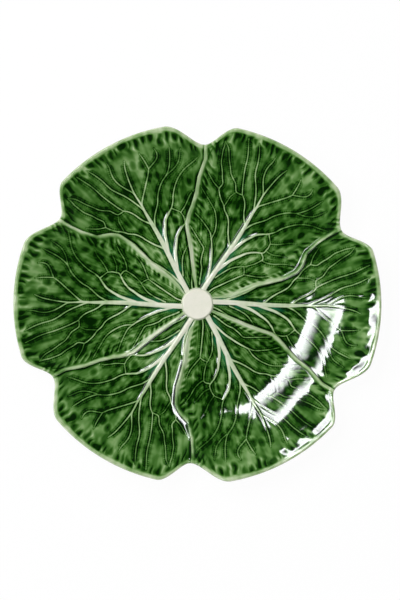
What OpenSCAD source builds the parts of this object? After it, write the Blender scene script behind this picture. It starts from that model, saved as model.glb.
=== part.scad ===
// A cabbage plate: six moulded cabbage leaves round a cut stalk, on a turned foot.
// Three upper leaves lie over the edges of the three lower leaves between them.
// Millimetres, +Z up. The origin is the middle of the face that the foot stands on,
// and the first leaf, a lower one, points along +X.

/* [Plate] */
// Width across two opposite leaf tips
plate_w = 265; // [230:5:310]
// Height from the table to the edge in the middle of a leaf tip
plate_h = 30; // [26:1:38]
// How far the notch between two tips is cut in
notch_depth = 15; // [8:1:20]
// Half the width of a tip's even arc, in degrees, before it turns in to the notch
tip_half_angle = 17; // [12:1:22]
// How many degrees further the even arc goes on the left side of a tip
left_more_angle = 2.5; // [0:0.5:4]

/* [Leaves] */
// Thickness of a leaf in the flat of the plate
leaf_t = 3.5; // [3:0.5:5]
// Height of a leaf's outer edge from its underside to its top
edge_t = 4; // [3:0.5:5]
// How far the rounded outer edge reaches past the flat of the leaf
edge_round = 1.4; // [1:0.2:2]
// Height of an upper leaf's side edge above the lower leaf that it covers
overlap_step = 1.8; // [1:0.2:2]

/* [Veins] */
// Width of a midrib where it leaves the stalk
midrib_w = 3.8; // [3:0.2:5]
// Width of a midrib at its far end
midrib_tip_w = 1; // [0.8:0.1:1.6]
// Height of a midrib above the leaf where it leaves the stalk
midrib_h = 1.5; // [1:0.1:2]
// Height of a midrib at its far end
midrib_tip_h = 0.5; // [0.4:0.1:0.8]
// Width of a side vein at its root
vein_w = 2.2; // [1.6:0.1:2.6]
// Width of a side vein at its tip
vein_tip_w = 1.2; // [1:0.1:1.6]
// Height of a side vein at its root
vein_h = 1; // [0.8:0.1:1.4]
// Height of a side vein at its tip
vein_tip_h = 0.6; // [0.5:0.1:0.8]
// Gap between the root of a vein and the rib or vein that it forks from
fork_gap = 0.3; // [0.2:0.1:0.6]

/* [Stalk] */
// Radius of the cut stalk in the middle
stalk_r = 11.2; // [9:0.2:13]
// Height of the cut stalk above the leaves
stalk_h = 2.6; // [2:0.2:4]
// Radius of the stalk's rounded top edge
stalk_round = 1.2; // [0.6:0.2:1.6]

/* [Foot] */
// Outer radius of the foot ring and of the base above it
foot_r = 69; // [56:1:76]
// Width of the foot ring
foot_w = 7; // [5:0.5:10]
// Height of the foot ring
foot_h = 4; // [3:0.5:6]
// Radius of the foot ring's rounded lower edges
foot_round = 1.5; // [0.5:0.25:2]
// Thickness of the base that closes the foot ring
base_t = 2.5; // [2:0.5:4]

/* [Hidden] */
$fn = 144;

leaf_count = 6;
half_leaf = 180 / leaf_count;
tip_r = plate_w / 2;
under_z = foot_h + base_t;
floor_z = under_z + leaf_t;

// The leaves were laid by hand, so the plate is this share as wide one way as the other.
oval_share = 0.98;
// The plate is a turned form whose edge is cut into lobes. It starts to rise at the first
// share of the way out to the tips and grows evenly steeper up to the second, where its
// lip starts. In the lip the slope falls again by the third share of that growth, and from
// the fourth share of the way out the lip is straight.
well_share = 0.46;
lip_share = 0.86;
lip_ease_share = 2.2;
lip_straight_share = 0.93;
// The underside starts to rise just outside the base, and is an even depth below the top
// from this share of the way out.
foot_gap = 1;
rise_share = (foot_r + foot_gap) / (tip_r - edge_round);
even_share = 0.75;

// The rows of every leaf, as shares of the way out. The first row is hidden under the
// stalk, the second follows the stalk's edge, and the last is the start of the rim.
stalk_share = stalk_r / (tip_r - edge_round);
hidden_row_share = 0.7;
row_shares = [
    stalk_share * hidden_row_share, stalk_share,
    0.13, 0.17, 0.22, 0.28, 0.35, 0.42, 0.49, 0.55, 0.61,
    0.67, 0.73, 0.79, 0.85, 0.91, 0.96, 1
];
last_row = len(row_shares) - 1;
// The columns of half a leaf, as shares of the way from the midrib to the leaf's side
column_shares = [0.17, 0.34, 0.5, 0.64, 0.76, 0.86, 0.94, 1];
// The rounded rim has two more rows. They lie at these shares of the way down from the
// top to the underside, and at these shares of the way out.
rim_down_shares = [0.22, 0.7];
rim_out_shares = [0.85, 1];

// An upper leaf's two sides: each pair is a share of the way out, and the side's angle
// from the middle of the leaf as a share of half a leaf. Seen from above with the tip up,
// the left side is the one in the direction of increasing angle.
left_side_shares = [
    [0, 1.36], [0.17, 1.4], [0.3, 1.36], [0.45, 1.38], [0.52, 1.3],
    [0.6, 1.2], [0.7, 1.12], [0.8, 1.08], [0.92, 1], [1, 1]
];
right_side_shares = [
    [0, 1.3], [0.085, 1.3], [0.15, 1.52], [0.2, 1.53], [0.24, 1.48], [0.33, 1.38],
    [0.48, 1.4], [0.58, 1.34], [0.67, 1.2], [0.75, 1.08], [0.85, 1.02], [0.92, 1], [1, 1]
];

// An upper leaf starts to curl up at this share of the way from its midrib to its side.
// The curl grows from the stalk out to its full height, and eases off by a share of it
// on the way to the rim.
curl_share = 0.8;
curl_full_share = 0.3;
curl_ease_share = 0.6;

// The midribs and the veins that come from the stalk start this far from its edge.
stalk_gap = 0.3;
// A midrib ends on this row. Its middle lies to the right of the leaf's middle line by a
// share of the tip radius, and each pair is a share of the way out and that share.
midrib_last_row = 15;
midrib_offset_shares = [
    [0, -0.008], [0.085, -0.008], [0.16, -0.013], [0.38, -0.011], [0.6, -0.016],
    [0.7, -0.022], [0.82, -0.008], [0.9, 0.014]
];
// Heights of a midrib's sides and shoulders, as shares of its own height
midrib_side_share = 0.45;
midrib_crest_share = 0.92;

// The side veins of one leaf, as shares of the tip radius: across to the right, and then
// out along the leaf. These fork from the midrib, first the left ones and then the right.
rib_vein_shares = [
    [[-0.014, 0.115], [-0.055, 0.219], [-0.109, 0.317], [-0.153, 0.372], [-0.197, 0.393],
        [-0.284, 0.421]],
    [[-0.014, 0.35], [-0.049, 0.393], [-0.098, 0.47], [-0.153, 0.519], [-0.208, 0.563],
        [-0.246, 0.607], [-0.243, 0.64], [-0.284, 0.7], [-0.334, 0.79]],
    [[-0.014, 0.5], [-0.044, 0.541], [-0.077, 0.601], [-0.12, 0.645], [-0.153, 0.705],
        [-0.186, 0.776], [-0.213, 0.847], [-0.245, 0.9]],
    [[-0.016, 0.59], [-0.055, 0.678], [-0.098, 0.743], [-0.131, 0.803], [-0.158, 0.874],
        [-0.18, 0.91]],
    [[-0.02, 0.7], [-0.049, 0.743], [-0.082, 0.82], [-0.077, 0.9]],
    [[-0.01, 0.24], [0.022, 0.301], [0.077, 0.383], [0.109, 0.41], [0.142, 0.426],
        [0.172, 0.393], [0.24, 0.415], [0.317, 0.459]],
    [[-0.01, 0.345], [0.022, 0.421], [0.066, 0.497], [0.12, 0.538], [0.164, 0.601],
        [0.191, 0.634], [0.251, 0.683], [0.339, 0.71], [0.377, 0.718]],
    [[-0.01, 0.49], [0.038, 0.563], [0.087, 0.634], [0.148, 0.694], [0.213, 0.743],
        [0.251, 0.798], [0.268, 0.847]],
    [[-0.012, 0.62], [0.033, 0.689], [0.093, 0.76], [0.112, 0.787], [0.109, 0.82],
        [0.104, 0.89]]
];
// These come straight from the stalk.
stalk_vein_shares = [
    [[0, 0], [-0.06, 0.12], [-0.087, 0.18], [-0.126, 0.246], [-0.164, 0.295],
        [-0.23, 0.328], [-0.273, 0.35]],
    [[0, 0], [0.027, 0.12], [0.055, 0.164], [0.104, 0.24], [0.126, 0.273],
        [0.191, 0.301], [0.251, 0.344]]
];
// These fork from a side vein and end free.
branch_shares = [
    [[-0.131, 0.35], [-0.137, 0.4], [-0.175, 0.464], [-0.24, 0.514], [-0.339, 0.563]],
    [[-0.246, 0.607], [-0.284, 0.62], [-0.344, 0.65]],
    [[-0.12, 0.645], [-0.169, 0.656], [-0.213, 0.694], [-0.257, 0.738], [-0.3, 0.795]],
    [[0.112, 0.787], [0.164, 0.809], [0.191, 0.847], [0.189, 0.88]],
    [[0.219, 0.661], [0.235, 0.716], [0.29, 0.77], [0.311, 0.803]],
    [[0.156, 0.495], [0.191, 0.514], [0.246, 0.557], [0.279, 0.574]]
];
// These join one vein to another.
link_shares = [
    [[0.147, 0.43], [0.156, 0.46], [0.156, 0.495], [0.126, 0.54]],
    [[-0.01, 0.165], [0.033, 0.24], [0.071, 0.29], [0.12, 0.328], [0.172, 0.393]]
];
// Branches and links are this share of a side vein's width and height.
branch_size_share = 0.7;
// How much longer the cut at a fork is than the widths that it clears, for its slant
fork_slant_share = 1.5;
// A vein's end is this share of the size that it has just before.
vein_end_share = 0.5;
// A vein is laid in steps of about this share of the tip radius.
vein_step_share = 0.06;
// The shoulders of a vein, as shares of its half width and of its height
vein_shoulder_shares = [0.62, 0.7];

leaf_green = [0.2, 0.4, 0.18];
vein_green = [0.62, 0.72, 0.46];
stalk_cream = [0.88, 0.86, 0.8];
clay_cream = [0.84, 0.79, 0.68];

// Shared curves

function clamp(x) = min(1, max(0, x));
function smooth(x) = let (t = clamp(x)) t * t * (3 - 2 * t);
function span(x, from, to) = smooth((x - from) / (to - from));
function mix(a, b, share) = a + (b - a) * share;
function polar(radius, angle, z) = [radius * cos(angle), radius * sin(angle), z];

// Angle from the middle of the nearest leaf, above zero on the leaf's left side
function turned(angle) = angle - 2 * half_leaf * round(angle / (2 * half_leaf));
// Radius of the flat of a leaf, inside the rounded rim
function flat_r(angle) =
    let (
        aside = turned(angle),
        even_angle = tip_half_angle + (aside > 0 ? left_more_angle : 0)
    )
    tip_r - edge_round - notch_depth * span(abs(aside), even_angle, half_leaf);

// Heights, at a share of the way out and at an angle round the plate

function turned_share(out, angle) = out * flat_r(angle) / flat_r(0);
function squared_past(x, from) = x > from ? (x - from) * (x - from) : 0;
function bowl(share) =
    squared_past(share, well_share) - lip_ease_share * squared_past(share, lip_share)
    + (lip_ease_share - 1) * squared_past(share, lip_straight_share);
function top_z(out, angle) =
    mix(floor_z, plate_h, bowl(turned_share(out, angle)) / bowl(1));
function bottom_z(out, angle) = mix(
    under_z, top_z(out, angle) - edge_t,
    span(turned_share(out, angle), rise_share, even_share)
);
// Aside is zero at the middle of the leaf and one at its side.
function curl(out, aside) = overlap_step * span(aside, curl_share, 1)
    * span(out, stalk_share, curl_full_share)
    * (1 - curl_ease_share * span(out, curl_full_share, 1));

// A leaf's number says where it points. Even numbers are upper leaves.

function middle(leaf) = 2 * half_leaf * (leaf - 1);
function is_upper(leaf) = leaf % 2 == 0;
// Angles from the leaf's middle to its left and right sides. A lower leaf ends where the
// upper leaf next to it begins.
function left_side(leaf, out) = half_leaf
    * (is_upper(leaf) ? lookup(out, left_side_shares) : 2 - lookup(out, right_side_shares));
function right_side(leaf, out) = -half_leaf
    * (is_upper(leaf) ? lookup(out, right_side_shares) : 2 - lookup(out, left_side_shares));
// A leaf's surface, with the curl of an upper leaf
function leaf_z(leaf, out, angle) =
    let (side = angle > 0 ? left_side(leaf, out) : right_side(leaf, out))
    top_z(out, angle) + (is_upper(leaf) ? curl(out, angle / side) : 0);

function midrib_half(out) =
    mix(midrib_w, midrib_tip_w, clamp(out / row_shares[midrib_last_row])) / 2;
// Angles of a midrib's right edge, middle and left edge. They stay the same under the stalk.
function midrib_angles(out) =
    let (
        way = max(out, stalk_share),
        offset = tip_r * lookup(way, midrib_offset_shares)
    )
    [for (side = [-1, 0, 1]) atan2(side * midrib_half(way) - offset, way * tip_r)];

// Every column of a row: right side, right half, midrib, left half, left side
function row_angles(leaf, out) =
    let (
        ribs = midrib_angles(out),
        left = left_side(leaf, out),
        right = right_side(leaf, out)
    )
    concat(
        [for (i = [len(column_shares) - 1:-1:0]) mix(ribs[0], right, column_shares[i])],
        ribs,
        [for (share = column_shares) mix(ribs[2], left, share)]
    );
column_count = 2 * len(column_shares) + 3;

// The points of one leaf, in the leaf's own frame with its middle along +X. The rows run
// out over the top, round the rim and back along the underside.
function top_row(leaf, out) =
    [for (a = row_angles(leaf, out)) polar(out * flat_r(a), a, leaf_z(leaf, out, a))];
function under_row(leaf, out) =
    [for (a = row_angles(leaf, out)) polar(out * flat_r(a), a, bottom_z(out, a))];
function rim_row(leaf, i) =
    [for (a = row_angles(leaf, 1))
        polar(
            flat_r(a) + edge_round * rim_out_shares[i], a,
            mix(leaf_z(leaf, 1, a), bottom_z(1, a), rim_down_shares[i])
        )];
function leaf_rows(leaf) = concat(
    [for (out = row_shares) top_row(leaf, out)],
    [for (i = [0, 1]) rim_row(leaf, i)],
    [for (i = [last_row:-1:0]) under_row(leaf, row_shares[i])]
);

// Two triangles for each cell between rows i and i + 1, and columns j and j + 1
function cells(rows, columns) =
    [for (i = [0:rows - 2]) for (j = [0:columns - 2])
        let (a = i * columns + j, b = a + columns)
        for (t = [[a, a + 1, b], [a + 1, b + 1, b]]) t];
// The fan that closes a row to a point in the middle of the plate
function fan(point, row, columns) =
    [for (j = [0:columns - 2]) [point, row * columns + j + 1, row * columns + j]];
function flipped(faces) = [for (f = faces) [f[0], f[2], f[1]]];
// A wall between the top rows and the underside rows along one column
function wall(rows, columns, column) =
    let (at = [for (i = [0:rows - 1]) i * columns + column])
    [for (i = [0:rows / 2 - 2]) for (t = [
        [at[i], at[i + 1], at[rows - 1 - i]],
        [at[i + 1], at[rows - 2 - i], at[rows - 1 - i]]
    ]) t];
// The wall's last piece, from a point above the middle of the plate to one below
function wall_root(over, under, first, last) = [[over, first, last], [over, last, under]];

module leaf_blade(leaf) {
    rows = leaf_rows(leaf);
    count = len(rows);
    n = column_count;
    over = count * n;
    under = over + 1;
    points = concat([for (row = rows) for (p = row) p], [[0, 0, floor_z], [0, 0, under_z]]);
    faces = concat(
        cells(count, n),
        fan(over, 0, n),
        flipped(fan(under, count - 1, n)),
        wall(count, n, 0),
        flipped(wall(count, n, n - 1)),
        wall_root(over, under, 0, (count - 1) * n),
        flipped(wall_root(over, under, n - 1, count * n - 1))
    );
    polyhedron(points, faces);
}

// Faces of a tube whose rings have as many points as sides, with both ends closed
function tube_faces(rings, sides, start) = concat(
    [for (i = [0:rings - 2]) for (j = [0:sides - 1])
        let (
            a = start + i * sides + j,
            b = start + i * sides + (j + 1) % sides
        )
        for (t = [[a, b, a + sides], [b, b + sides, a + sides]]) t],
    [for (j = [1:sides - 2]) [start, start + j + 1, start + j]],
    let (end = start + (rings - 1) * sides)
    [for (j = [1:sides - 2]) [end, end + j, end + j + 1]]
);

// The midrib stands on the three middle columns of its leaf, so the two fit face to face.
midrib_sides = 7;
function midrib_ring(leaf, out) =
    let (
        height = mix(midrib_h, midrib_tip_h, clamp(out / row_shares[midrib_last_row])),
        foot = [for (a = midrib_angles(out)) polar(out * flat_r(a), a, leaf_z(leaf, out, a))],
        side = [0, 0, height * midrib_side_share],
        crest = [0, 0, height * midrib_crest_share]
    )
    [
        foot[0], foot[0] + side, mix(foot[0], foot[1], 0.5) + crest,
        mix(foot[1], foot[2], 0.5) + crest, foot[2] + side, foot[2], foot[1]
    ];

module midrib_bar(leaf) {
    start_share = (stalk_r + stalk_gap) / (tip_r - edge_round);
    outs = concat([start_share], [for (i = [2:midrib_last_row]) row_shares[i]]);
    points = [for (out = outs) for (p = midrib_ring(leaf, out)) p];
    polyhedron(points, tube_faces(len(outs), midrib_sides, 0));
}

// A vein's course: its points in the leaf's plan, cut back where it forks, then in steps

function in_plan(shares) = [for (p = shares) [p[1] * tip_r, -p[0] * tip_r]];
function reversed(list) = [for (i = [len(list) - 1:-1:0]) list[i]];
function without_first(list) = [for (i = [1:len(list) - 1]) list[i]];
// A stretch shorter than this share of a step is dropped with the cut.
least_stretch_share = 0.3;
function cut_back(points, cut) =
    let (first = norm(points[1] - points[0]))
    cut <= 0 ? points
        : cut < first - least_stretch_share * vein_step_share * tip_r
            ? concat([mix(points[0], points[1], cut / first)], without_first(points))
            : cut_back(without_first(points), cut - first);
function stepped(points) = concat(
    [points[0]],
    [for (i = [1:len(points) - 1])
        let (
            way = norm(points[i] - points[i - 1]),
            steps = max(1, round(way / (vein_step_share * tip_r)))
        )
        for (j = [1:steps]) mix(points[i - 1], points[i], j / steps)]
);

// Only the stretches of a vein that its leaf shows are made.

function is_shown(leaf, p) =
    let (
        angle = atan2(p[1], p[0]),
        out = norm(p) / flat_r(angle),
        side = angle > 0 ? left_side(leaf, out) : right_side(leaf, out)
    )
    norm(p) * sin(abs(side) - abs(angle)) > vein_w / 2 + fork_gap;
function run_end(shown, i) = i + 1 < len(shown) && shown[i + 1] ? run_end(shown, i + 1) : i;
function runs(shown) =
    [for (i = [0:len(shown) - 2])
        if (shown[i] && shown[i + 1] && (i == 0 || !shown[i - 1])) [i, run_end(shown, i)]];

// The leaf's own facets, as a list of heights by angle for each row, and the height at a
// place in the leaf's plan. A vein that is laid on them touches the leaf all along.
function row_heights(leaf) =
    [for (out = row_shares)
        [for (a = row_angles(leaf, out)) [a, leaf_z(leaf, out, a)]]];
function facet_z(heights, p) =
    let (
        angle = atan2(p[1], p[0]),
        out = norm(p) / flat_r(angle)
    )
    lookup(out, [for (i = [0:last_row]) [row_shares[i], lookup(angle, heights[i])]]);

vein_sides = 5;
function vein_ring(heights, p, along, width, height) =
    let (
        aside = [-along[1], along[0]] / norm(along),
        half = width / 2,
        shoulder = half * vein_shoulder_shares[0],
        right = p - aside * half,
        left = p + aside * half,
        right_z = facet_z(heights, right),
        left_z = facet_z(heights, left),
        lift = height * vein_shoulder_shares[1],
        right_lift = mix(left_z, right_z, (1 + vein_shoulder_shares[0]) / 2) + lift,
        left_lift = mix(right_z, left_z, (1 + vein_shoulder_shares[0]) / 2) + lift
    )
    [
        concat(right, right_z),
        concat(p - aside * shoulder, right_lift),
        concat(p, mix(right_z, left_z, 0.5) + height),
        concat(p + aside * shoulder, left_lift),
        concat(left, left_z)
    ];

// All the rings of one run of a vein's course
function vein_rings(heights, course, run, size) =
    let (last = len(course) - 1)
    [for (i = [run[0]:run[1]])
        let (
            along = course[min(i + 1, last)] - course[max(i - 1, 0)],
            end = i == run[1] ? vein_end_share : 1,
            width = mix(vein_w, vein_tip_w, i / last) * size * end,
            height = mix(vein_h, vein_tip_h, i / last) * size * end
        )
        vein_ring(heights, course[i], along, width, height)];

// Every vein of a leaf as a list of rings
function all_veins(leaf) =
    let (
        heights = row_heights(leaf),
        small_w = vein_w * branch_size_share,
        rib_cut = (midrib_half(0) + vein_w / 2 + fork_gap) * fork_slant_share,
        fork_cut = (vein_w / 2 + small_w / 2 + fork_gap) * fork_slant_share,
        whole = [for (v = rib_vein_shares) [stepped(cut_back(in_plan(v), rib_cut)), 1]],
        stems = [for (v = stalk_vein_shares)
            [stepped(cut_back(in_plan(v), stalk_r + stalk_gap)), 1]],
        small = [for (v = branch_shares)
            [stepped(cut_back(in_plan(v), fork_cut)), branch_size_share]],
        links = [for (v = link_shares)
            let (cut = cut_back(in_plan(v), fork_cut))
            [stepped(reversed(cut_back(reversed(cut), fork_cut))), branch_size_share]]
    )
    [for (vein = concat(whole, stems, small, links))
        for (run = runs([for (p = vein[0]) is_shown(leaf, p)]))
            vein_rings(heights, vein[0], run, vein[1])];

function sum_to(list, end) = end <= 0 ? 0 : list[end - 1] + sum_to(list, end - 1);

module vein_web(leaf) {
    veins = all_veins(leaf);
    sizes = [for (rings = veins) len(rings) * vein_sides];
    points = [for (rings = veins) for (ring = rings) for (p = ring) p];
    faces = [for (i = [0:len(veins) - 1])
        for (f = tube_faces(len(veins[i]), vein_sides, sum_to(sizes, i))) f];
    polyhedron(points, faces);
}

// The pieces, from the table up

module foot_ring() {
    inner_r = foot_r - foot_w;
    color(clay_cream)
        rotate_extrude() {
            translate([inner_r, foot_round])
                square([foot_w, foot_h - foot_round]);
            translate([inner_r + foot_round, 0])
                square([foot_w - 2 * foot_round, foot_h]);
            for (r = [inner_r + foot_round, foot_r - foot_round])
                translate([r, foot_round])
                    circle(foot_round);
        }
}

module base() {
    color(clay_cream)
        translate([0, 0, foot_h])
            cylinder(h = base_t, r = foot_r);
}

// Turns a leaf to its place, and brings it in to the plate's slight oval
module laid(n) {
    scale([1, oval_share, 1])
        rotate(middle(n))
            children();
}

module leaf(n) {
    color(leaf_green)
        laid(n)
            leaf_blade(n);
}

module midrib(n) {
    color(stalk_cream)
        laid(n)
            midrib_bar(n);
}

module side_veins(n) {
    color(vein_green)
        laid(n)
            vein_web(n);
}

module stalk_end() {
    color(stalk_cream)
        translate([0, 0, floor_z])
            rotate_extrude() {
                square([stalk_r, stalk_h - stalk_round]);
                square([stalk_r - stalk_round, stalk_h]);
                translate([stalk_r - stalk_round, stalk_h - stalk_round])
                    circle(stalk_round);
            }
}

foot_ring();
base();
stalk_end();
for (n = [1:leaf_count]) {
    leaf(n);
    midrib(n);
    side_veins(n);
}
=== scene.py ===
# %% [markdown]
# # A cabbage leaf plate
# The plate is one piece of earthenware, pressed in a mould that a potter built from six
# cabbage leaves round a cut stalk, and covered with one green glaze. The glaze is what
# makes it look as it does: it runs thin over every rib, so the cream clay shows through,
# and pools in every hollow, where it turns nearly black.
#
# We follow that. Each leaf is a sheet of small faces that is moved into shape, and each
# corner of a face remembers how thick the glaze lies on it. One material then turns that
# thickness into colour.
# %% Load the frame
from math import cos, exp, pi, radians, sin

import bmesh
import bpy
import numpy as np
from mathutils import Matrix, Vector


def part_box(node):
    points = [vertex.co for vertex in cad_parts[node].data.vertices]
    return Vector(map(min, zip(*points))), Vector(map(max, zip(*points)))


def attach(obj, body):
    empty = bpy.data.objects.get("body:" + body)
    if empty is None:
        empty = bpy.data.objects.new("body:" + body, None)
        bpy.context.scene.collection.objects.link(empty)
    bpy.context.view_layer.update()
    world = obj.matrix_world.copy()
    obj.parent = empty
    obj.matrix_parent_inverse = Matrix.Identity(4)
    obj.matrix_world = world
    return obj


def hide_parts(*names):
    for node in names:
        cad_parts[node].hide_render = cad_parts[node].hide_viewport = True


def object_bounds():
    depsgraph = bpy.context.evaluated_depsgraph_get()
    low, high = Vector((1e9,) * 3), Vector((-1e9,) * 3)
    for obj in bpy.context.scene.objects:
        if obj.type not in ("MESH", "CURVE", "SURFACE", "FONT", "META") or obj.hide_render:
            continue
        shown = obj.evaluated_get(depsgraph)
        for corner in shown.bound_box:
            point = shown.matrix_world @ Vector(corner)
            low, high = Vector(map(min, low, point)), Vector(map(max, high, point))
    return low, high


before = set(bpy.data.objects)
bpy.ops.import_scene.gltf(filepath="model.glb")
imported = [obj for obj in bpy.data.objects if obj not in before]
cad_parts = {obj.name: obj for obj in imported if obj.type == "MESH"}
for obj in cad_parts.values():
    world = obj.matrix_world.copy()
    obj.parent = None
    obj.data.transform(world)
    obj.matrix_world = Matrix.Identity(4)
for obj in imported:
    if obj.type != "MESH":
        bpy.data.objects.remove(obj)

cad_bounds = [list(corner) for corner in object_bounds()]
print("CAD box in mm:", [[round(1000 * v, 1) for v in corner] for corner in cad_bounds])

# %% [markdown]
# ## Sizes that the frame gives
# Every piece has to sit where the solid model says, so the radii and heights are read
# from its nodes and not typed in again. We work in millimetres, because that is how a
# potter would measure, and turn them into metres when a mesh is finished.
# %% Read the sizes
MM = 0.001


def box_mm(node):
    """A node's lowest and highest corners, in millimetres"""
    return [np.array(corner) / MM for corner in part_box(node)]


stalk_low, stalk_high = box_mm("stalk_end")
foot_high = box_mm("foot_ring")[1]
TIP_R = -cad_bounds[0][0] / MM
RIM_Z = cad_bounds[1][2] / MM
STALK_R, STALK_TOP, FLOOR_Z = stalk_high[0], stalk_high[2], stalk_low[2]
FOOT_R, FOOT_H = foot_high[0], foot_high[2]
UNDER_Z = box_mm("base")[1][2]
print("tip radius", round(TIP_R, 1), "rim", round(RIM_Z, 1), "floor", round(FLOOR_Z, 1),
      "stalk", round(STALK_R, 1), "foot", round(FOOT_R, 1))

# %% [markdown]
# ## The form of the plate
# Seen from above, six lobes run round the edge with a notch between each two. In section
# the plate is nearly flat in the middle and sweeps up to the rim. Both are plain curves,
# and every leaf shares them, so neighbouring leaves meet without a gap. A few soft steps
# and humps are enough to write such curves, and all later marks use them too.
# %% Soft steps and humps


def smooth(share):
    """An S-shaped step from 0 to 1"""
    share = np.clip(share, 0, 1)
    return share * share * (3 - 2 * share)


def span(value, start, end):
    """The same step, from 0 at the start to 1 at the end"""
    return smooth((value - start) / (end - start))


def hump(distance, width):
    """1 at no distance, fading softly to 0"""
    return np.exp(-(distance / width) ** 2)


def lookup(value, pairs):
    """Straight lines through pairs of a place and a value"""
    return np.interp(value, [p[0] for p in pairs], [p[1] for p in pairs])


print("a quarter of the way along, a soft step has risen", smooth(0.25))

# %% Draw the outline
LEAF_TURN, HALF_LEAF = 60, 30
NOTCH_DEPTH = 15
RIGHT_EVEN, LEFT_EVEN = 17, 19.5
OVAL = 0.98
EDGE_ROUND, EDGE_T = 1.4, 4
# The solid model's rim is made of short flats, and a true curve has to stay inside them.
FLATS = 0.34
FLAT_R = TIP_R - EDGE_ROUND - FLATS
STALK_SHARE = STALK_R / FLAT_R

# Each pair is a share of the way out, and the side's angle in degrees.
LEFT_SIDE = [
    (0, 40.8), (0.17, 42), (0.3, 40.8), (0.45, 41.4), (0.52, 39), (0.6, 36),
    (0.7, 33.6), (0.8, 32.4), (0.92, 30), (1, 30)
]
RIGHT_SIDE = [
    (0, 39), (0.085, 39), (0.15, 45.6), (0.2, 45.9), (0.24, 44.4), (0.33, 41.4),
    (0.48, 42), (0.58, 40.2), (0.67, 36), (0.75, 32.4), (0.85, 30.6), (0.92, 30), (1, 30)
]


def from_tip(angle):
    """Degrees from the middle of the nearest leaf, more than 0 on its left"""
    return angle - LEAF_TURN * np.round(angle / LEAF_TURN)


def edge_r(angle):
    """Radius of a leaf's edge: even round the tip, then falling to the notch"""
    aside = from_tip(angle)
    even = np.where(aside > 0, LEFT_EVEN, RIGHT_EVEN)
    return FLAT_R - NOTCH_DEPTH * span(np.abs(aside), even, HALF_LEAF)


print("the edge's radius is", round(float(edge_r(0)), 1), "at a tip and",
      round(float(edge_r(HALF_LEAF)), 1), "at a notch")

# %% [markdown]
# The wall was turned on a wheel before its edge was cut into lobes, so its height depends
# on the radius alone. It rises ever faster from the well outwards, eases off, and ends in
# a straight lip. Squares that start at three radii give such a curve without a kink. An
# upper leaf also curls up along its two sides, where it lies over the lower leaves.
# %% Draw the section
WELL, LIP_START, LIP_EASE, LIP_STRAIGHT = 0.46, 0.86, 2.2, 0.93
UNDER_START, UNDER_EVEN = (FOOT_R + 1) / FLAT_R, 0.75
CURL_HEIGHT, CURL_START, CURL_LATER, CURL_LOSS = 1.8, 0.88, 0.05, 0.6


def turned_share(out, angle):
    """How far out a place is on the turned form, before its edge was cut into lobes"""
    return out * edge_r(angle) / FLAT_R


def bowl(share):
    """The wall's rise, not yet scaled to the plate's height"""
    past_well, past_start, past_ease = [
        np.maximum(share - start, 0) ** 2 for start in (WELL, LIP_START, LIP_STRAIGHT)]
    return past_well - LIP_EASE * past_start + (LIP_EASE - 1) * past_ease


def top_z(out, angle):
    """Height of a leaf's face before its own marks"""
    return FLOOR_Z + (RIM_Z - FLOOR_Z) * bowl(turned_share(out, angle)) / bowl(1)


def under_z(out, angle):
    """Height of the underside: flat over the foot, then even with the face"""
    even = span(turned_share(out, angle), UNDER_START, UNDER_EVEN)
    return UNDER_Z + (top_z(out, angle) - EDGE_T - UNDER_Z) * even


def curl(out, aside):
    """How far an upper leaf lifts, where aside is 0 in its middle and 1 at its side"""
    start = CURL_START + CURL_LATER * span(out, 0.4, 0.52)
    return (CURL_HEIGHT * span(aside, start, 1) * span(out, STALK_SHARE, 0.3)
            * (1 - CURL_LOSS * span(out, 0.3, 1)))


probe = np.linspace(0, 1, 200)
steepest = np.degrees(np.arctan(np.gradient(top_z(probe, 0), probe * FLAT_R).max()))
print("the wall is steepest at", round(float(steepest), 1), "degrees")

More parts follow.
